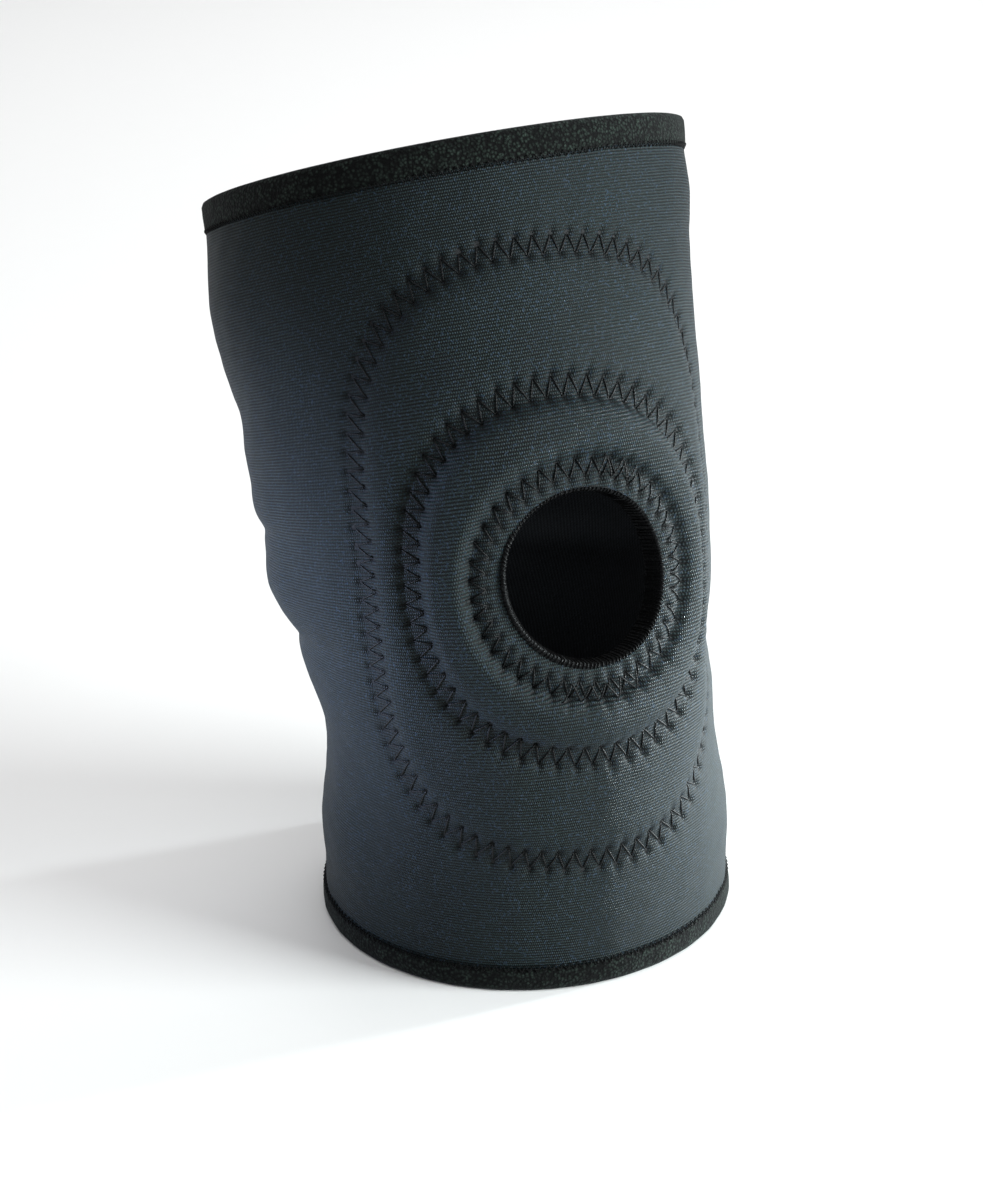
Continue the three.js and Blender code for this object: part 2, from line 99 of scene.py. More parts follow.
STITCH_HALF_WIDTHS = {"outer": 3.2, "middle": 3.0, "inner": 2.5}
STITCH_PITCH = 5.4
THREAD_RADIUS = 0.25
BACK_SEAM_HALF_WIDTH = 2.0
BACK_SEAM_PITCH = 6.0
# A needle's hole: depth and radius. The dent of the thread beside it: depth, length, reach.
HOLE_DEPTH, HOLE_RADIUS = 0.85, 1.05
DENT_DEPTH, DENT_LENGTH, DENT_REACH = 0.42, 0.75, 2.6
# How far from its needle a mark is worked out, and how far from a stitch line marks can be.
MARK_REACH = 6.0
PUCKER_REACH = 9.0

CALF_BINDING_WIDTH = 7.6
THIGH_BINDING_WIDTH = 9.2
HEM_STITCH_PITCH = 2.3
HEM_THREAD_RADIUS = 0.17

MARGIN_FALL = 2.4
OPENING_WALL_TOP = PAD_BED + 0.3 - MARGIN_FALL
OPENING_WALL_FOOT = -5.6 - MARGIN_FALL
OVERLOCK_WIDTH = 1.5
OVERLOCK_PITCH = 1.25
OVERLOCK_THREAD_RADIUS = 0.2
OPENING_RADIUS = 27.0

rng = np.random.default_rng(7)


# ------------------------------------------------------------------ the leg's form


def ease(t):
    """A smooth step from 0 to 1."""
    t = np.clip(t, 0.0, 1.0)
    return t * t * (3.0 - 2.0 * t)


def along(values, t):
    """A smooth curve through evenly spaced values, read at t from 0 to 1."""
    values = np.asarray(values, float)
    last = len(values) - 1
    place = np.clip(t, 0.0, 1.0) * last
    i = np.minimum(last - 1, np.floor(place).astype(int))
    f = place - i
    a, b = values[i], values[i + 1]
    slope_a = np.where(i > 0, (b - values[np.maximum(i - 1, 0)]) / 2, b - a)
    slope_b = np.where(i < last - 1, (values[np.minimum(i + 2, last)] - a) / 2, b - a)
    bow = (slope_a - (b - a)) * (1 - f) - (slope_b - (b - a)) * f
    return a + (b - a) * f + f * (1 - f) * bow


def lean(s):
    """How far the leg leans back at a place along it, in radians."""
    return PRE_BEND * ease((s - BEND_FROM) / (BEND_TO - BEND_FROM))


# The centre line at every millimetre: how far back and how far up.
STEPS = np.arange(int(LENGTH) + 1)
LINE_BACK = np.concatenate([[0.0], np.cumsum(np.sin(lean(STEPS[1:] - 0.5)))])
LINE_UP = np.concatenate([[0.0], np.cumsum(np.cos(lean(STEPS[1:] - 0.5)))])


def calf_centre():
    """The middle of the calf hem, from the CAD binding."""
    low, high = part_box("calf_binding")
    return (Vector(low) + Vector(high)) / 2 / MM


CALF_CENTRE = calf_centre()
ORIGIN = np.array([CALF_CENTRE.x - SIDE_SHIFTS[0], CALF_CENTRE.y, 0.0])


def on_sleeve(s, phi, height):
    """Points in metres for arrays of places and heights."""
    s, phi, height = np.broadcast_arrays(s, phi, height)
    t = s / LENGTH
    wide = (along(HALF_WIDTHS, t) + height) * np.sin(phi)
    deep = (along(HALF_DEPTHS, t) + height) * np.cos(phi)
    angle = lean(s)
    x = along(SIDE_SHIFTS, t) + wide
    y = np.interp(s, STEPS, LINE_BACK) - deep * np.cos(angle)
    z = np.interp(s, STEPS, LINE_UP) + deep * np.sin(angle)
    return (np.stack([x, y, z], axis=-1) + ORIGIN) * MM


def girth_radius(s):
    """The mean radius of the leg at a place along it."""
    t = s / LENGTH
    return (along(HALF_WIDTHS, t) + along(HALF_DEPTHS, t)) / 2


def place_at(across, up):
    """The place (s, phi) for a distance across and up from the kneecap's middle."""
    s = KNEE_AT + up
    return s, across / girth_radius(s)


# ------------------------------------------------------------------ outlines at the kneecap


def outline_point(outline, angle, grow=0.0):
    """Across and up for a point of an outline, grown outwards."""
    across, up, width, height, power, tilt = outline
    c, n = np.cos(angle), np.sin(angle)
    reach = (np.abs(c) ** power + np.abs(n) ** power) ** (-1 / power)
    x, y = (width + grow) * c * reach, (height + grow) * n * reach
    turn = math.radians(tilt)
    return (
        across + x * math.cos(turn) - y * math.sin(turn),
        up + x * math.sin(turn) + y * math.cos(turn),
    )


def inside(outline, across, up):
    """How far points lie inside an outline, in millimetres; negative outside it."""
    cx, cy, width, height, power, tilt = outline
    turn = math.radians(tilt)
    dx, dy = across - cx, up - cy
    x = dx * math.cos(turn) + dy * math.sin(turn)
    y = -dx * math.sin(turn) + dy * math.cos(turn)
    ax, ay = np.abs(x) / width + 1e-9, np.abs(y) / height + 1e-9
    level = (ax**power + ay**power) ** (1 / power)
    slope = np.hypot((ax / level) ** (power - 1) / width, (ay / level) ** (power - 1) / height)
    return (1 - level) / slope


def shoulder(distance, roll):
    """A pad's rounded shoulder: 0 at its edge and 1 at full height."""
    t = np.clip(distance / roll, 0.0, 1.0)
    return np.sqrt(1 - (1 - t) ** 2) * 0.75 + 0.25 * ease(t)


class Stitching:
    """A zigzag along an outline: its needle places, evenly spaced along the face."""

    def __init__(self, outline, half_width):
        self.outline, self.half_width = outline, half_width
        angles = np.linspace(0, 2 * math.pi, 1441)
        path = on_sleeve(*place_at(*outline_point(outline, angles)), PAD_BED) / MM
        travelled = np.concatenate([[0.0], np.cumsum(np.linalg.norm(np.diff(path, axis=0), axis=1))])
        count = 2 * round(travelled[-1] / STITCH_PITCH)
        targets = travelled[-1] * np.arange(count) / count + rng.normal(0, 0.12, count)
        self.angles = np.interp(targets, travelled, angles)
        self.side = np.where(np.arange(count) % 2 == 0, 1.0, -1.0)
        grow = self.side * (half_width + rng.normal(0, 0.12, count))
        self.across, self.up = outline_point(outline, self.angles, grow)


STITCHINGS = {
    "outer": Stitching(OUTER_STITCH, STITCH_HALF_WIDTHS["outer"]),
    "middle": Stitching(MIDDLE_STITCH, STITCH_HALF_WIDTHS["middle"]),
    "inner": Stitching(INNER_STITCH, STITCH_HALF_WIDTHS["inner"]),
}


def needle_marks(across, up):
    """The puckers of all zigzags at the given points: how far the face is drawn in."""
    depth = np.zeros_like(across)
    for stitching in STITCHINGS.values():
        needles = np.stack([stitching.across, stitching.up], axis=-1)
        ahead = np.roll(needles, -2, axis=0) - np.roll(needles, 2, axis=0)
        way = ahead / np.linalg.norm(ahead, axis=1, keepdims=True)
        for needle, (way_x, way_y) in zip(needles, way):
            near = (np.abs(across - needle[0]) < MARK_REACH) & (np.abs(up - needle[1]) < MARK_REACH)
            dx, dy = across[near] - needle[0], up[near] - needle[1]
            run, cross = dx * way_x + dy * way_y, dx * way_y - dy * way_x
            hole = HOLE_DEPTH * np.exp(-(dx**2 + dy**2) / HOLE_RADIUS**2)
            along_line = np.exp(-((run / DENT_LENGTH) ** 2))
            dent = DENT_DEPTH * along_line * np.exp(-np.abs(cross) / DENT_REACH)
            depth[near] += hole + dent
    return depth


def soft_noise(across, up, scale, seed):
    """A slow random unevenness from a few waves, between about -1 and 1."""
    waves = np.random.default_rng(seed)
    total = np.zeros_like(across)
    for _ in range(7):
        direction = waves.uniform(0, math.pi)
        length = scale * waves.uniform(0.7, 1.6)
        offset = waves.uniform(0, 2 * math.pi)
        total += np.sin(
            (across * math.cos(direction) + up * math.sin(direction)) * 2 * math.pi / length + offset
        )
    return total / 3.2


# Where the worn sleeve folds inwards, or swells where the depth is negative:
# place along the leg, angle round it, reach round it, depth and width along it.
FOLDS = (
    (206.0, -108.0, 38.0, -2.5, 18.0),
    (172.0, -110.0, 38.0, 1.4, 8.0),
    (143.0, -112.0, 34.0, -1.0, 6.0),
    (135.0, -114.0, 30.0, 0.9, 3.0),
    (116.0, -112.0, 36.0, -2.6, 11.0),
    (99.0, -114.0, 34.0, 1.7, 4.5),
    (67.0, -110.0, 40.0, 0.9, 13.0),
    (32.0, -110.0, 50.0, -1.9, 14.0),
    (216.0, 64.0, 35.0, -1.2, 12.0),
    (91.0, 66.0, 30.0, 2.1, 13.0),
    (33.0, 66.0, 42.0, -2.5, 17.0),
    (136.0, 130.0, 40.0, 1.4, 7.0),
    (104.0, 138.0, 40.0, 1.6, 7.0),
    (120.0, 180.0, 42.0, 1.5, 8.0),
    (92.0, 176.0, 34.0, 1.2, 7.0),
    (150.0, 172.0, 30.0, 1.0, 8.0),
)


def fold_depth(s, phi):
    """How far the folds draw the sleeve in at the given places."""
    depth = np.zeros_like(s)
    for at, angle, reach, deep, width in FOLDS:
        turn = np.degrees(phi) - angle
        turn = (turn + 180) % 360 - 180
        bowed = s - at - 0.002 * turn**2
        depth += deep * np.exp(-((turn / reach) ** 2)) * np.exp(-((bowed / width) ** 2))
    return depth


def wrapped(phi):
    """An angle brought between minus and plus half a turn."""
    return (phi + math.pi) % (2 * math.pi) - math.pi


def margin_fall(s, phi):
    """How far the laminate drops into the opening, past the inner stitches."""
    across, up = wrapped(phi) * girth_radius(s), s - KNEE_AT
    return MARGIN_FALL * ease((inside(INNER_STITCH, across, up) - 1.0) / 6.0)


def face_height(s, phi):
    """The knitted face's height above the plain sleeve, with pads, channels and puckers."""
    phi = wrapped(phi)
    across, up = phi * girth_radius(s), s - KNEE_AT
    outer = inside(OUTER_STITCH, across, up)
    middle = inside(MIDDLE_STITCH, across, up)
    inner = inside(INNER_STITCH, across, up)
    ring = shoulder(outer - CHANNEL, OUTER_ROLL) * shoulder(-middle - CHANNEL, OUTER_ROLL)
    sideways = across / (np.hypot(across, up) + 1.0)
    inner_roll = BUTTRESS_INNER_ROLL + 2.5 * sideways
    buttress = shoulder(middle - CHANNEL, BUTTRESS_ROLL) * shoulder(-inner - INNER_CHANNEL, inner_roll)
    bed = PAD_BED * ease((outer + 3.0) / 6.0)
    channels = sum(
        CHANNEL_DEPTH * np.exp(-((distance / CHANNEL_WIDTH) ** 2))
        for distance in (outer, middle, inner)
    )
    puckers = np.zeros_like(across)
    near = np.minimum(np.minimum(np.abs(outer), np.abs(middle)), np.abs(inner)) < PUCKER_REACH
    puckers[near] = needle_marks(across[near], up[near])
    uneven = 0.16 * soft_noise(across, up, 34.0, 3) + 0.07 * soft_noise(across, up, 11.0, 5)
    seam_turn = np.abs(np.abs(phi) - math.pi) * girth_radius(s)
    seam = 0.45 * np.exp(-((seam_turn / 0.7) ** 2))
    height = bed + OUTER_PAD_RISE * ring + BUTTRESS_RISE * buttress + uneven
    return height - channels - puckers - seam - fold_depth(s, phi) - margin_fall(s, phi)


def stitch_shade(s, phi):
    """Painted shade along the stitch lines and in the needle puckers, from 0 to 1: the knit's colour
    darkens there.
    """
    across, up = wrapped(phi) * girth_radius(s), s - KNEE_AT
    shade_amount = np.zeros_like(across)
    for stitching in STITCHINGS.values():
        distance = inside(stitching.outline, across, up)
        shade_amount += 0.3 * np.exp(-((distance / stitching.half_width) ** 2))
    near = shade_amount > 0.02
    shade_amount[near] += 0.8 * needle_marks(across[near], up[near])
    return np.clip(shade_amount, 0.0, 1.0)


# ------------------------------------------------------------------ mesh building


def mesh_object(name, points, faces, material, uvs=None, smooth=True):
    """A new object in the scene, from points in metres and faces of point numbers."""
    mesh = bpy.data.meshes.new(name)
    mesh.from_pydata(np.asarray(points).reshape(-1, 3).tolist(), [], np.asarray(faces).tolist())
    if uvs is not None:
        layer = mesh.uv_layers.new(name="UVMap")
        layer.data.foreach_set("uv", np.asarray(uvs, np.float32).ravel())
    mesh.polygons.foreach_set("use_smooth", [smooth] * len(mesh.polygons))
    mesh.materials.append(material)
    mesh.validate()
    mesh.update()
    obj = bpy.data.objects.new(name, mesh)
    bpy.context.scene.collection.objects.link(obj)
    return obj


def grid_faces(rows, columns, close_rows=False, close_columns=False):
    """Quads of a grid of points, each as indices into row * columns + column."""
    last_row = rows if close_rows else rows - 1
    last_column = columns if close_columns else columns - 1
    i, j = np.meshgrid(np.arange(last_row), np.arange(last_column), indexing="ij")
    i, j = i.ravel(), j.ravel()
    i2, j2 = (i + 1) % rows, (j + 1) % columns
    return np.stack(
        [i * columns + j, i * columns + j2, i2 * columns + j2, i2 * columns + j], axis=1
    )


def grid_uvs(u, v, close_rows=False, close_columns=False):
    """Face-corner UVs for grid_faces, from the grid lines' own u and v."""
    last_row = len(v) - (0 if close_rows else 1)
    last_column = len(u) - (0 if close_columns else 1)
    u_next = np.append(u[1:], 2 * u[-1] - u[-2])
    v_next = np.append(v[1:], 2 * v[-1] - v[-2])
    i, j = np.meshgrid(np.arange(last_row), np.arange(last_column), indexing="ij")
    i, j = i.ravel(), j.ravel()
    corners = [(u[j], v[i]), (u_next[j], v[i]), (u_next[j], v_next[i]), (u[j], v_next[i])]
    return np.stack([np.stack(corner, axis=-1) for corner in corners], axis=1)


def round_columns(fine, coarse, fine_to=1.45):
    """Angles round the leg, starting at the back seam, closer together over the kneecap."""
    front = np.linspace(-fine_to, fine_to, fine)
    back = np.linspace(fine_to, 2 * math.pi - fine_to, coarse)[1:-1]
    angles = np.concatenate([front, back])
    angles = (angles + math.pi) % (2 * math.pi) - math.pi
    return np.sort(angles)


def sleeve_tube(name, columns, rows, height, material, shade=None):
    """An open tube round the leg, with the opening's edge on its outline."""
    phi, s = np.meshgrid(columns, rows)
    s, phi, cut = snapped_to_opening(s, phi, 0.8)
    faces = grid_faces(len(rows), len(columns), close_columns=True)
    uvs = grid_uvs(columns * MEAN_RADIUS * MM, rows * MM, close_columns=True)
    keep = ~cut.ravel()[faces].any(axis=1)
    obj = mesh_object(name, on_sleeve(s, phi, height(s, phi)), faces[keep], material, uvs[keep])
    # The painted shade along the stitch lines, kept per point for the knit's colour.
    if shade is not None:
        layer = obj.data.attributes.new("stitch_shade", "FLOAT", "POINT")
        layer.data.foreach_set("value", shade(s, phi).ravel())
    return without_loose_points(obj)


def snapped_to_opening(s, phi, grow):
    """Moves the grid points nearest the opening's edge onto it, and marks those inside."""
    outline = (OPENING[0], OPENING[1], OPENING[2] + grow, OPENING[3] + grow, OPENING[4], OPENING[5])
    across, up = phi * girth_radius(s), s - KNEE_AT
    depth = inside(outline, across, up)
    cell = 1.1  # about one step of the grid at the opening
    rim = (depth > 0) & (depth < cell)
    cx, cy = OPENING[0], OPENING[1]
    stretch = 1 + np.where(rim, depth, 0.0) / np.maximum(np.hypot(across - cx, up - cy), 1e-6)
    new_s, new_phi = place_at(cx + (across - cx) * stretch, cy + (up - cy) * stretch)
    s = np.where(rim, new_s, s)
    phi = np.where(rim, new_phi, phi)
    return s, phi, depth >= cell


def without_loose_points(obj):
    """Drops the points that no face uses."""
    mesh = bmesh.new()
    mesh.from_mesh(obj.data)
    bmesh.ops.delete(mesh, geom=[v for v in mesh.verts if not v.link_faces], context="VERTS")
    mesh.to_mesh(obj.data)
    mesh.free()
    return obj


def swept_tube(path, radius, sides=8, closed=True):
    """Points and quads of a round tube along a path of points."""
    path = np.asarray(path, float)
    if closed:
        way = np.roll(path, -1, axis=0) - np.roll(path, 1, axis=0)
    else:
        way = np.gradient(path, axis=0)
    way /= np.linalg.norm(way, axis=1, keepdims=True)
    start = np.cross(way[0], [0.31, 0.17, 0.93])
    normals = [start / np.linalg.norm(start)]
    for direction in way[1:]:
        carried = normals[-1] - direction * np.dot(normals[-1], direction)
        normals.append(carried / np.linalg.norm(carried))
    normals = np.array(normals)
    sideways = np.cross(way, normals)
    turn = np.arange(sides) / sides * 2 * math.pi
    turn = turn[None, :, None]
    ring = normals[:, None] * np.cos(turn) + sideways[:, None] * np.sin(turn)
    radius = np.broadcast_to(radius, len(path))
    points = path[:, None] + ring * radius[:, None, None]
    faces = grid_faces(len(path), sides, close_rows=closed, close_columns=True)
    return points.reshape(-1, 3), faces


def path_uvs(path, sides, closed):
    """Thread UVs: round the thread and along it, in metres."""
    steps = np.linalg.norm(np.diff(path, axis=0), axis=1)
    travelled = np.concatenate([[0.0], np.cumsum(steps)])
    around = np.arange(sides) / sides * 2 * math.pi * THREAD_RADIUS * MM
    return grid_uvs(around, travelled, close_rows=closed, close_columns=True)


# ------------------------------------------------------------------ materials


class Nodes:
    """A small helper to write a material's node tree."""

    def __init__(self, name):
        self.material = bpy.data.materials.new(name)
        self.material.use_nodes = True
        self.tree = self.material.node_tree
        self.tree.nodes.clear()
        self.shader = self.add("ShaderNodeBsdfPrincipled")
        output = self.add("ShaderNodeOutputMaterial")
        self.tree.links.new(self.shader.outputs[0], output.inputs["Surface"])

    def add(self, kind, **settings):
        node = self.tree.nodes.new(kind)
        for key, value in settings.items():
            setattr(node, key, value)
        return node

    def plug(self, value, socket):
        if isinstance(value, bpy.types.NodeSocket):
            self.tree.links.new(value, socket)
        else:
            socket.default_value = value

    def math(self, operation, a, b=0.0, c=0.0):
        node = self.add("ShaderNodeMath", operation=operation)
        self.plug(a, node.inputs[0])
        self.plug(b, node.inputs[1])
        self.plug(c, node.inputs[2])
        return node.outputs[0]

    def uv(self):
        split = self.add("ShaderNodeSeparateXYZ")
        self.plug(self.add("ShaderNodeUVMap", uv_map="UVMap").outputs[0], split.inputs[0])
        return split.outputs[0], split.outputs[1]

    def place(self):
        return self.add("ShaderNodeTexCoord").outputs["Object"]

    def noise(self, scale, detail=3.0, rough=0.55):
        node = self.add("ShaderNodeTexNoise")
        self.plug(self.place(), node.inputs["Vector"])
        node.inputs["Scale"].default_value = scale
        node.inputs["Detail"].default_value = detail
        node.inputs["Roughness"].default_value = rough
        return node.outputs[0]

    def wave(self, position, pitch, phase=0.0):
        """A sine of a position in metres, from -1 to 1."""
        scaled = self.math("MULTIPLY_ADD", position, 2 * math.pi / pitch, phase)
        return self.math("SINE", scaled)

    def remap(self, value, low, high, to_low=0.0, to_high=1.0):
        node = self.add("ShaderNodeMapRange")
        self.plug(value, node.inputs["Value"])
        for key, number in zip(
            ("From Min", "From Max", "To Min", "To Max"), (low, high, to_low, to_high)
        ):
            node.inputs[key].default_value = number
        return node.outputs[0]

    def mix(self, factor, a, b):
        node = self.add("ShaderNodeMix", data_type="RGBA")
        self.plug(factor, node.inputs[0])
        self.plug(a, node.inputs[6])
        self.plug(b, node.inputs[7])
        return node.outputs[2]

    def bump(self, height, distance):
        node = self.add("ShaderNodeBump")
        node.inputs["Distance"].default_value = distance
        self.plug(height, node.inputs["Height"])
        self.plug(node.outputs[0], self.shader.inputs["Normal"])

    def set(self, **values):
        for key, value in values.items():
            self.plug(value, self.shader.inputs[key.replace("_", " ")])


def srgb(red, green, blue):
    """A linear colour from 0 to 255 screen values."""
    channels = [c / 255 for c in (red, green, blue)]
    linear = [c / 12.92 if c <= 0.04045 else ((c + 0.055) / 1.055) ** 2.4 for c in channels]
    return (*linear, 1.0)


COURSE = 0.88 * MM
WALE = 0.66 * MM


def knit_material(name, dark, light, tint, bump_depth=0.26 * MM):
    """Fine warp knit: staggered stitches in courses, with a soft satin sheen."""
    n = Nodes(name)
    u, v = n.uv()
    drift = n.math("MULTIPLY", n.math("SUBTRACT", n.noise(55.0, 2.0), 0.5), 0.5 * MM)
    course = n.math("ADD", v, drift)
    stitch = n.math(
        "MULTIPLY", n.wave(u, WALE, math.pi / 2), n.wave(course, 2 * COURSE, math.pi / 2)
    )
    row = n.wave(course, COURSE, math.pi / 2)
    height = n.math("ADD", n.math("MULTIPLY", stitch, 0.24), n.math("MULTIPLY_ADD", row, 0.3, 0.5))
    fibre = n.noise(2600.0, 2.0, 0.7)
    rough_height = n.math("MULTIPLY_ADD", fibre, 0.22, height)
    n.bump(rough_height, bump_depth)
    blotch = n.noise(38.0, 4.0, 0.6)
    # Painted shade and highlight: the yarn's colour follows its bump height, dark in the gaps between
    # stitches and light on the yarn.
    yarn = n.mix(n.remap(height, 0.37, 0.66), dark, light)
    speckle = n.remap(n.noise(1500.0, 1.0, 0.5), 0.57, 0.7)
    tinted = n.mix(n.math("MULTIPLY", speckle, 0.65), yarn, tint)
    shaded = n.mix(n.remap(blotch, 0.3, 0.75, 0.0, 0.22), tinted, dark)
    # Painted shade: the knit's colour darkens along the stitch lines and in the needle puckers.
    drawn = n.add("ShaderNodeAttribute", attribute_name="stitch_shade").outputs["Fac"]
    stitch_shaded = n.mix(n.math("MULTIPLY", drawn, 0.8), shaded, dark)
    n.set(Base_Color=stitch_shaded, Roughness=n.remap(height, 0.0, 1.0, 0.7, 0.5))
    n.set(Specular_IOR_Level=0.17, Sheen_Weight=0.04, Sheen_Roughness=0.35)
    n.set(Sheen_Tint=(0.62, 0.7, 0.85, 1.0))
    return n.material


def terry_material(name, dark, light):
    """Brushed knit tape: a fuzzy pile of small loops."""
    n = Nodes(name)
    cells = n.add("ShaderNodeTexVoronoi", feature="F1")
    n.plug(n.place(), cells.inputs["Vector"])
    cells.inputs["Scale"].default_value = 1000.0
    loops = n.math("SUBTRACT", 1.0, n.remap(cells.outputs["Distance"], 0.0, 0.75))
    fuzz = n.noise(2400.0, 3.0, 0.7)
    clump = n.noise(300.0, 3.0, 0.6)
    height = n.math("ADD", n.math("MULTIPLY", loops, 0.55), n.math("MULTIPLY", fuzz, 0.45))
    n.bump(n.math("MULTIPLY_ADD", clump, 0.5, height), 0.5 * MM)
    tuft = n.remap(height, 0.35, 0.8)
    colour = n.mix(n.math("MULTIPLY", tuft, n.remap(clump, 0.35, 0.65, 0.25, 1.0)), dark, light)
    n.set(Base_Color=colour, Roughness=0.92, Specular_IOR_Level=0.12)
    n.set(Sheen_Weight=0.06, Sheen_Roughness=0.5, Sheen_Tint=(0.6, 0.65, 0.68, 1.0))
    return n.material


def thread_material(name, dark, light, shine):
    """Bonded nylon thread: twisted plies."""
    n = Nodes(name)
    around, travelled = n.uv()
    twist = n.wave(n.math("ADD", travelled, n.math("MULTIPLY", around, 0.9)), 0.9 * MM)
    ply = n.remap(twist, -1.0, 1.0)
    n.bump(ply, 0.08 * MM)
    n.set(Base_Color=n.mix(ply, dark, light), Roughness=0.5, Specular_IOR_Level=shine)
    return n.material


def foam_material(name, dark, light):
    """Closed-cell foam: a skin of fine pores."""
    n = Nodes(name)
    pores = n.add("ShaderNodeTexVoronoi", feature="F1")
    n.plug(n.place(), pores.inputs["Vector"])
    pores.inputs["Scale"].default_value = 1400.0
    cell = n.remap(pores.outputs["Distance"], 0.0, 0.6)
    n.bump(cell, 0.12 * MM)
    n.set(Base_Color=n.mix(cell, dark, light), Roughness=0.88, Specular_IOR_Level=0.3)
    return n.material


def lining_material(name, dark, light):
    """Plain jersey lining: vertical wales of small stitches."""
    n = Nodes(name)
    u, v = n.uv()
    stitch = n.math("MULTIPLY", n.wave(u, 1.3 * MM), n.wave(v, 1.0 * MM))
    height = n.math("MULTIPLY_ADD", stitch, 0.3, n.math("MULTIPLY_ADD", n.wave(u, 1.3 * MM), 0.2, 0.5))
    n.bump(n.math("MULTIPLY_ADD", n.noise(2200.0), 0.3, height), 0.18 * MM)
    n.set(Base_Color=n.mix(n.remap(height, 0.1, 0.9), dark, light), Roughness=0.85)
    n.set(Specular_IOR_Level=0.15, Sheen_Weight=0.05, Sheen_Roughness=0.5)
    return n.material


FACE_KNIT = knit_material("face_knit", srgb(1, 2, 3), srgb(19, 36, 37), srgb(40, 57, 74))
TERRY = terry_material("binding_knit", srgb(1, 2, 2), srgb(46, 58, 52))
OPENING_KNIT = terry_material("opening_knit", srgb(2, 2, 3), srgb(14, 17, 18))
THREAD = thread_material("thread", srgb(2, 3, 4), srgb(12, 15, 17), shine=0.2)
OVERLOCK = thread_material("overlock_thread", srgb(1, 1, 2), srgb(9, 11, 12), shine=0.1)
NEOPRENE = foam_material("neoprene", srgb(10, 11, 12), srgb(34, 36, 38))
PAD_FOAM = foam_material("pad_foam", srgb(30, 32, 34), srgb(58, 61, 64))
LINING_KNIT = lining_material("lining_knit", srgb(18, 20, 23), srgb(52, 57, 62))


# ------------------------------------------------------------------ baking pieces in place


def bends(obj):
    """Bakes a piece's placement into its mesh."""
    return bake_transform(obj)


# ------------------------------------------------------------------ the sleeve's layers


def make_face():
    """The knitted face: one tube, with every pad, pucker and fold in its shape."""
    columns = round_columns(246, 110)
    rows = np.linspace(FACE_INSET, LENGTH - FACE_INSET, 275)
    # The face carries painted shade along its stitch lines and in its needle puckers.
    face = sleeve_tube("knit_face", columns, rows, face_height, FACE_KNIT, shade=stitch_shade)
    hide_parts("sleeve_face")
    return bends(face)


def make_core():
    """The neoprene between the knits, one closed tube with the opening through it."""
    columns = round_columns(150, 70)
    rows = np.linspace(CORE_INSET, LENGTH - CORE_INSET, 110)
    phi, s = np.meshgrid(columns, rows)
    s, phi, cut = snapped_to_opening(s, phi, 1.0)
    drawn_in = fold_depth(s, phi) + margin_fall(s, phi)
    outer = on_sleeve(s, phi, FOAM_OUTER - drawn_in).reshape(-1, 3)
    inner = on_sleeve(s, phi, FOAM_INNER - drawn_in).reshape(-1, 3)
    faces = grid_faces(len(rows), len(columns), close_columns=True)
    faces = faces[~cut.ravel()[faces].any(axis=1)]
    count = len(outer)
    walls = edge_walls(faces, count)
    whole = np.concatenate([faces, faces[:, ::-1] + count, walls])
    core = mesh_object("neoprene_core", np.concatenate([outer, inner]), whole, NEOPRENE)
    without_loose_points(core)
    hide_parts("sleeve_foam_calf", "sleeve_foam_knee", "sleeve_foam_thigh")
    return bends(core)


def edge_walls(faces, count):
    """Quads that join the open edges of a sheet to its copy, whose points follow it."""
    edges = np.concatenate([faces[:, [i, (i + 1) % 4]] for i in range(4)])
    known = {(a, b) for a, b in edges.tolist()}
    return np.array([(b, a, a + count, b + count) for a, b in known if (b, a) not in known])


def make_lining():
    """The knitted lining, inside the neoprene."""
    columns = round_columns(150, 90)
    rows = np.linspace(CORE_INSET, LENGTH - CORE_INSET, 140)

    def height(s, phi):
        uneven = 0.1 * soft_noise(phi * girth_radius(s), s - KNEE_AT, 20.0, 11)
        return LINING_DEPTH - fold_depth(s, phi) - margin_fall(s, phi) + uneven

    lining = sleeve_tube("lining", columns, rows, height, LINING_KNIT)
    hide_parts("sleeve_lining")
    return bends(lining)


# ------------------------------------------------------------------ pads


def make_pad(name, node, outer_edge, inner_edge):
    """A foam ring under the face: flat below, crowned above, with rounded edges."""
    count = 220
    angles = np.arange(count) / count * 2 * math.pi
    section = [(t, True) for t in np.linspace(0, 1, 15)] + [(t, False) for t in np.linspace(1, 0, 6)]
    rows = []
    for t, is_top in section:
        a = np.array(outline_point(outer_edge[0], angles, outer_edge[1]))
        b = np.array(outline_point(inner_edge[0], angles, inner_edge[1]))
        s, phi = place_at(*(a + (b - a) * t))
        top = face_height(s, phi) - PAD_COVER
        floor = np.full_like(top, FOAM_OUTER + 0.15)
        rows.append(on_sleeve(s, phi, np.maximum(top, floor + 0.1) if is_top else floor))
    faces = grid_faces(len(section), count, close_rows=True, close_columns=True)
    pad = mesh_object(name, np.array(rows), faces, PAD_FOAM)
    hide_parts(node)
    return bends(pad)


# ------------------------------------------------------------------ the opening's edge


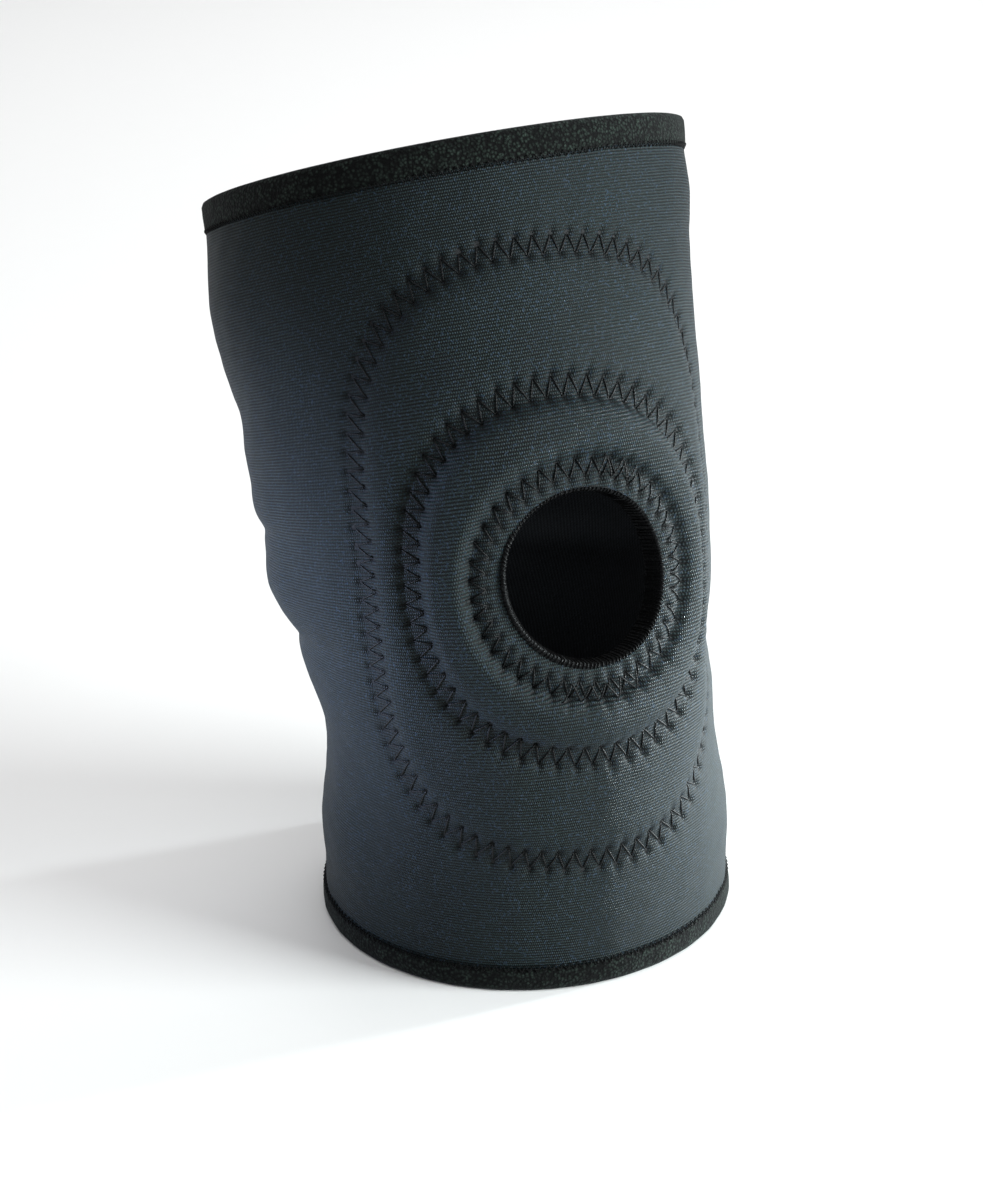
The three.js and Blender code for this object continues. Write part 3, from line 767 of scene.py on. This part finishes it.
def edge_section(turn):
    """The edge's rounded section: growth and height at a turn from 0 to 1."""
    corners = np.array(
        [
            (OVERLOCK_WIDTH, OPENING_WALL_TOP - 0.35),
            (OVERLOCK_WIDTH * 0.5, OPENING_WALL_TOP - 0.02),
            (0.35, OPENING_WALL_TOP - 0.15),
            (0.0, OPENING_WALL_TOP - 0.8),
            (-0.05, (OPENING_WALL_TOP + OPENING_WALL_FOOT) / 2),
            (0.0, OPENING_WALL_FOOT + 0.7),
            (0.4, OPENING_WALL_FOOT + 0.1),
            (OVERLOCK_WIDTH * 0.6, OPENING_WALL_FOOT + 0.1),
            (OVERLOCK_WIDTH, OPENING_WALL_FOOT + 0.6),
            (OVERLOCK_WIDTH * 0.8, (OPENING_WALL_TOP + OPENING_WALL_FOOT) / 2),
        ]
    )
    place = np.asarray(turn, float) % 1.0 * len(corners)
    i = np.floor(place).astype(int)
    f = (place - i)[..., None]
    before, here = corners[(i - 1) % len(corners)], corners[i % len(corners)]
    after, last = corners[(i + 1) % len(corners)], corners[(i + 2) % len(corners)]
    smooth = 0.5 * (
        2 * here
        + (after - before) * f
        + (2 * before - 5 * here + 4 * after - last) * f**2
        + (3 * here - before - 3 * after + last) * f**3
    )
    return smooth[..., 0], smooth[..., 1]


def opening_points(angles, grow, height):
    """Points at angles round the opening, grown outwards from its edge."""
    s, phi = place_at(*outline_point(OPENING, angles, grow))
    return on_sleeve(s, phi, height)


def make_opening_edge():
    """The black edging that wraps the opening's wall."""
    count, around = 260, 30
    angles = np.arange(count) / count * 2 * math.pi
    rows = []
    for turn in np.arange(around) / around:
        grow, height = edge_section(turn)
        ripple = 0.06 * np.sin(angles * 118) + 0.05 * np.sin(angles * 43 + turn * 9)
        rows.append(opening_points(angles, grow + ripple, height))
    faces = grid_faces(around, count, close_rows=True, close_columns=True)
    edge = mesh_object("opening_edge", np.array(rows), faces, OPENING_KNIT)
    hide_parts("opening_binding")
    return bends(edge)


def make_overlock():
    """The whipped stitches that wrap the opening's edge, one continuous thread."""
    loops = round(2 * math.pi * OPENING_RADIUS / OVERLOCK_PITCH)
    per_loop = 14
    turns = np.arange(loops * per_loop) / per_loop
    wobble = np.repeat(rng.normal(0, 0.12, loops), per_loop)
    reach = 1 + np.repeat(rng.normal(0, 0.1, loops), per_loop)
    section = turns % 1.0
    grow, height = edge_section(section)
    lead = 0.35 * np.sin(section * 2 * math.pi)
    angles = (turns + wobble + lead) / loops * 2 * math.pi
    on_top = height > OPENING_WALL_TOP - 1.0
    middle_grow = OVERLOCK_WIDTH * 0.5
    middle_height = (OPENING_WALL_TOP + OPENING_WALL_FOOT) / 2
    out_grow = np.where(grow > 1.0, (grow - 1.0) * reach + 1.0, grow)
    away = np.stack([out_grow - middle_grow, (height - middle_height) * 0.35], axis=-1)
    away /= np.linalg.norm(away, axis=1, keepdims=True) + 1e-9
    lifted = np.where(on_top, 0.16, 0.12)
    points = opening_points(
        angles, out_grow + away[:, 0] * lifted, height + away[:, 1] * lifted + 0.04
    )
    tube, faces = swept_tube(points, OVERLOCK_THREAD_RADIUS * MM, sides=6)
    uvs = path_uvs(points, 6, closed=True)
    overlock = mesh_object("opening_overlock", tube, faces, OVERLOCK, uvs)
    return bends(overlock)


# ------------------------------------------------------------------ zigzags


def zigzag_path(across, up, closed=True, steps=7):
    """The thread from needle to needle: into the face at each, and over it between."""
    across_next, up_next = np.roll(across, -1), np.roll(up, -1)
    if not closed:
        across, up, across_next, up_next = (v[:-1] for v in (across, up, across_next, up_next))
    t = np.arange(steps) / steps
    x = across[:, None] + (across_next - across)[:, None] * t
    y = up[:, None] + (up_next - up)[:, None] * t
    s, phi = place_at(x, y)
    ground = face_height(s.ravel(), phi.ravel()).reshape(x.shape)
    ends = ground[:, :1]
    ends_next = np.concatenate([ends[1:], ends[:1] if closed else ends[-1:]])
    chord = ends + (ends_next - ends) * t
    arch = np.sin(math.pi * t) ** 0.7
    taut = chord + 0.55 * arch
    height = np.where(t == 0, ground - 0.15, np.maximum(taut, ground + 0.12))
    return on_sleeve(s, phi, height).reshape(-1, 3)


def make_zigzag(name, node, stitching):
    """One zigzag line round the kneecap, in one closed thread."""
    path = zigzag_path(stitching.across, stitching.up)
    points, faces = swept_tube(path, THREAD_RADIUS * MM)
    obj = mesh_object(name, points, faces, THREAD, path_uvs(path, 8, closed=True))
    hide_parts(node)
    return bends(obj)


def make_overlap(name, stitching, start, end):
    """Where a zigzag ends over its own start: a second, shifted run of stitches."""
    step = 2 * math.pi / len(stitching.angles)
    angles = np.arange(math.radians(start), math.radians(end), step)
    side = np.where(np.arange(len(angles)) % 2 == 0, 1.0, -1.0)
    grow = side * (stitching.half_width + rng.normal(0, 0.25, len(angles))) + 0.5
    angles = angles + rng.normal(0, 0.12 * step, len(angles))
    path = zigzag_path(*outline_point(stitching.outline, angles, grow), closed=False)
    points, faces = swept_tube(path, THREAD_RADIUS * MM, closed=False)
    obj = mesh_object(name, points, faces, THREAD, path_uvs(path, 8, closed=False))
    return bends(obj)


def make_back_seam():
    """The flat zigzag seam that closes the sleeve, down the back."""
    low, high = CALF_BINDING_WIDTH + 3, LENGTH - THIGH_BINDING_WIDTH - 3
    count = 2 * round((high - low) / BACK_SEAM_PITCH)
    needle_s = np.linspace(low, high, count + 1)
    side = np.where(np.arange(count + 1) % 2 == 0, 1.0, -1.0) * BACK_SEAM_HALF_WIDTH
    steps = 7
    t = np.arange(count * steps + 1) / steps
    s = np.interp(t, np.arange(count + 1), needle_s)
    across = np.interp(t, np.arange(count + 1), side)
    phi = math.pi + across / girth_radius(s)
    arch = np.abs(np.sin(math.pi * t))
    path = on_sleeve(s, phi, face_height(s, phi) + 0.35 * arch - 0.05)
    points, faces = swept_tube(path, THREAD_RADIUS * MM, closed=False)
    seam = mesh_object("back_seam", points, faces, THREAD, path_uvs(path, 8, closed=False))
    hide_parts("back_seam_zigzag")
    return bends(seam)


# ------------------------------------------------------------------ hems


def tape_section(width):
    """The folded tape's section: distance in from the fold, and height."""
    return (
        (width, 0.15),
        (width - 0.15, 0.62),
        (width - 1.3, 0.92),
        (width / 2, 1.0),
        (1.6, 0.92),
        (0.45, 0.35),
        (0.0, -0.9),
        (0.0, -2.55),
        (0.0, -4.2),
        (0.45, -5.45),
        (1.7, -5.95),
        (width / 2, -6.05),
        (width - 1.1, -5.95),
        (width - 0.1, -5.6),
        (width, -5.2),
        (width / 2, -5.1),
        (1.1, -4.9),
        (0.9, -2.5),
        (1.1, -0.1),
        (width / 2, 0.1),
    )


def make_binding(name, node, hem, into, width, body):
    """Folded tape round a hem, a little wavy along its sewn edge."""
    count = 420
    phi = np.arange(count) / count * 2 * math.pi
    section = tape_section(width)
    rows = []
    for inset, height in section:
        waver = 0.12 * np.sin(phi * 9 + 1.3) + 0.08 * np.sin(phi * 23 + inset)
        s = hem + into * (inset + (waver if inset > width - 1.5 else 0.0))
        rows.append(on_sleeve(s, phi, height + 0.05 * np.sin(phi * 31)))
    faces = grid_faces(len(section), count, close_rows=True, close_columns=True)
    tape = mesh_object(name, np.array(rows), faces, TERRY)
    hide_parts(node)
    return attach(tape, body)


def make_hem_stitches(name, node, hem, into, width, body):
    """The small stitches over the tape's sewn edge, one continuous thread."""
    s_edge = hem + into * width
    count = round(2 * math.pi * girth_radius(s_edge) / HEM_STITCH_PITCH)
    per_stitch = 10
    turns = np.arange(count * per_stitch) / per_stitch
    phi = turns / count * 2 * math.pi
    swing = np.cos(turns * 2 * math.pi)
    s = s_edge + into * (0.2 + 0.8 * swing)
    path = on_sleeve(s, phi, 0.55 - 0.45 * swing)
    points, faces = swept_tube(path, HEM_THREAD_RADIUS * MM, sides=6)
    stitches = mesh_object(name, points, faces, OVERLOCK, path_uvs(path, 6, closed=True))
    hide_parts(node)
    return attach(stitches, body)


# ------------------------------------------------------------------ stage, light and camera

CAMERA_AZIMUTH = math.radians(-24.09)
CAMERA_ELEVATION = math.radians(23.61)
CAMERA_ROLL = math.radians(-1.25)
CAMERA_DISTANCE = 0.96
CAMERA_LENS = 95.1
AIM_RIGHT, AIM_UP = -2.5 * MM, -11.3 * MM


def make_camera():
    """The view from above the kneecap's left, a little rolled."""
    az, el = CAMERA_AZIMUTH, CAMERA_ELEVATION
    target = Vector(ORIGIN * MM) + Vector((0, 0, LENGTH / 2 * MM))
    direction = Vector((math.sin(az) * math.cos(el), -math.cos(az) * math.cos(el), math.sin(el)))
    place = target + direction * CAMERA_DISTANCE
    right = Vector((math.cos(az), math.sin(az), 0))
    up = right.cross(-direction)
    aim = target + right * AIM_RIGHT + up * AIM_UP
    forward = (aim - place).normalized()
    right = forward.cross(Vector((0, 0, 1))).normalized()
    up = right.cross(forward)
    rolled_right = right * math.cos(CAMERA_ROLL) + up * math.sin(CAMERA_ROLL)
    rolled_up = up * math.cos(CAMERA_ROLL) - right * math.sin(CAMERA_ROLL)
    data = bpy.data.cameras.new("camera")
    data.lens = CAMERA_LENS
    data.sensor_width = 36.0
    camera = bpy.data.objects.new("camera", data)
    turn = Matrix((rolled_right, rolled_up, -forward)).transposed()
    camera.matrix_world = Matrix.Translation(place) @ turn.to_4x4()
    bpy.context.scene.collection.objects.link(camera)
    bpy.context.scene.camera = camera


def make_light(name, place, size, power, colour=(1, 1, 1), target=(0, 0, 0.12)):
    """A soft rectangular lamp that points at its target."""
    data = bpy.data.lights.new(name, "AREA")
    data.shape = "RECTANGLE"
    data.size, data.size_y = size
    data.energy = power
    data.color = colour
    light = bpy.data.objects.new(name, data)
    light.location = place
    light.rotation_euler = (Vector(target) - Vector(place)).to_track_quat("-Z", "Y").to_euler()
    bpy.context.scene.collection.objects.link(light)


def make_glow(name, place, target, cone, power, colour):
    """A soft round pool of light."""
    data = bpy.data.lights.new(name, "SPOT")
    data.spot_size = math.radians(cone)
    data.spot_blend = 1.0
    data.shadow_soft_size = 0.05
    data.energy = power
    data.color = colour
    light = bpy.data.objects.new(name, data)
    light.location = place
    light.rotation_euler = (Vector(target) - Vector(place)).to_track_quat("-Z", "Y").to_euler()
    bpy.context.scene.collection.objects.link(light)


def make_stage():
    """The sheet of white paper that the sleeve stands on."""
    size = 6.0
    corners = [(-size, -size, 0), (size, -size, 0), (size, size, 0), (-size, size, 0)]
    n = Nodes("floor_paper")
    grain = n.noise(60.0, 2.0)
    n.set(Base_Color=n.mix(n.math("MULTIPLY", grain, 0.1), srgb(244, 244, 244), srgb(236, 236, 236)))
    n.set(Roughness=0.8, Specular_IOR_Level=0.2)
    floor = mesh_object("floor", corners, [(0, 1, 2, 3)], n.material, smooth=False)


def make_world():
    """Even white light from all round."""
    world = bpy.data.worlds.new("studio")
    world.use_nodes = True
    background = world.node_tree.nodes["Background"]
    background.inputs["Color"].default_value = (1.0, 1.0, 1.0, 1.0)
    background.inputs["Strength"].default_value = 0.27
    bpy.context.scene.world = world


make_camera()
make_world()
make_stage()
make_light("key_right", (0.85, -0.8, 0.3), (0.6, 0.8), 36.0, (0.94, 1.0, 1.0))
make_light("top_back", (0.8, 0.9, 1.3), (1.6, 1.6), 16.0)
make_light("overhead", (-0.3, -0.2, 1.9), (1.6, 1.6), 13.0)
make_glow("glow_right", (1.0, -0.1, 0.12), (0.07, -0.04, 0.075), 15.0, 148.0, (0.9, 0.98, 1.0))
make_glow("glow_left", (-1.0, 0.3, 0.1), (-0.06, -0.02, 0.105), 11.0, 115.0, (0.6, 0.7, 1.0))

make_core()
make_face()
make_lining()
make_pad("outer_pad_foam", "outer_pad", (OUTER_STITCH, -PAD_EDGE), (MIDDLE_STITCH, PAD_EDGE))
make_pad("buttress_foam", "buttress_pad", (MIDDLE_STITCH, -PAD_EDGE), (INNER_STITCH, PAD_EDGE))
make_opening_edge()
make_overlock()
for line, stitching in STITCHINGS.items():
    make_zigzag(f"{line}_zigzag_thread", f"{line}_zigzag", stitching)
make_overlap("inner_zigzag_end", STITCHINGS["inner"], -108.0, -62.0)
make_overlap("inner_zigzag_repair", STITCHINGS["inner"], 58.0, 84.0)
make_back_seam()
make_binding("calf_tape", "calf_binding", 0.0, 1, CALF_BINDING_WIDTH, "calf")
make_binding("thigh_tape", "thigh_binding", LENGTH, -1, THIGH_BINDING_WIDTH, "thigh")
make_hem_stitches("calf_tape_stitches", "calf_hem_stitch", 0.0, 1, CALF_BINDING_WIDTH, "calf")
make_hem_stitches("thigh_tape_stitches", "thigh_hem_stitch", LENGTH, -1, THIGH_BINDING_WIDTH, "thigh")

bpy.context.scene.view_settings.view_transform = "Standard"
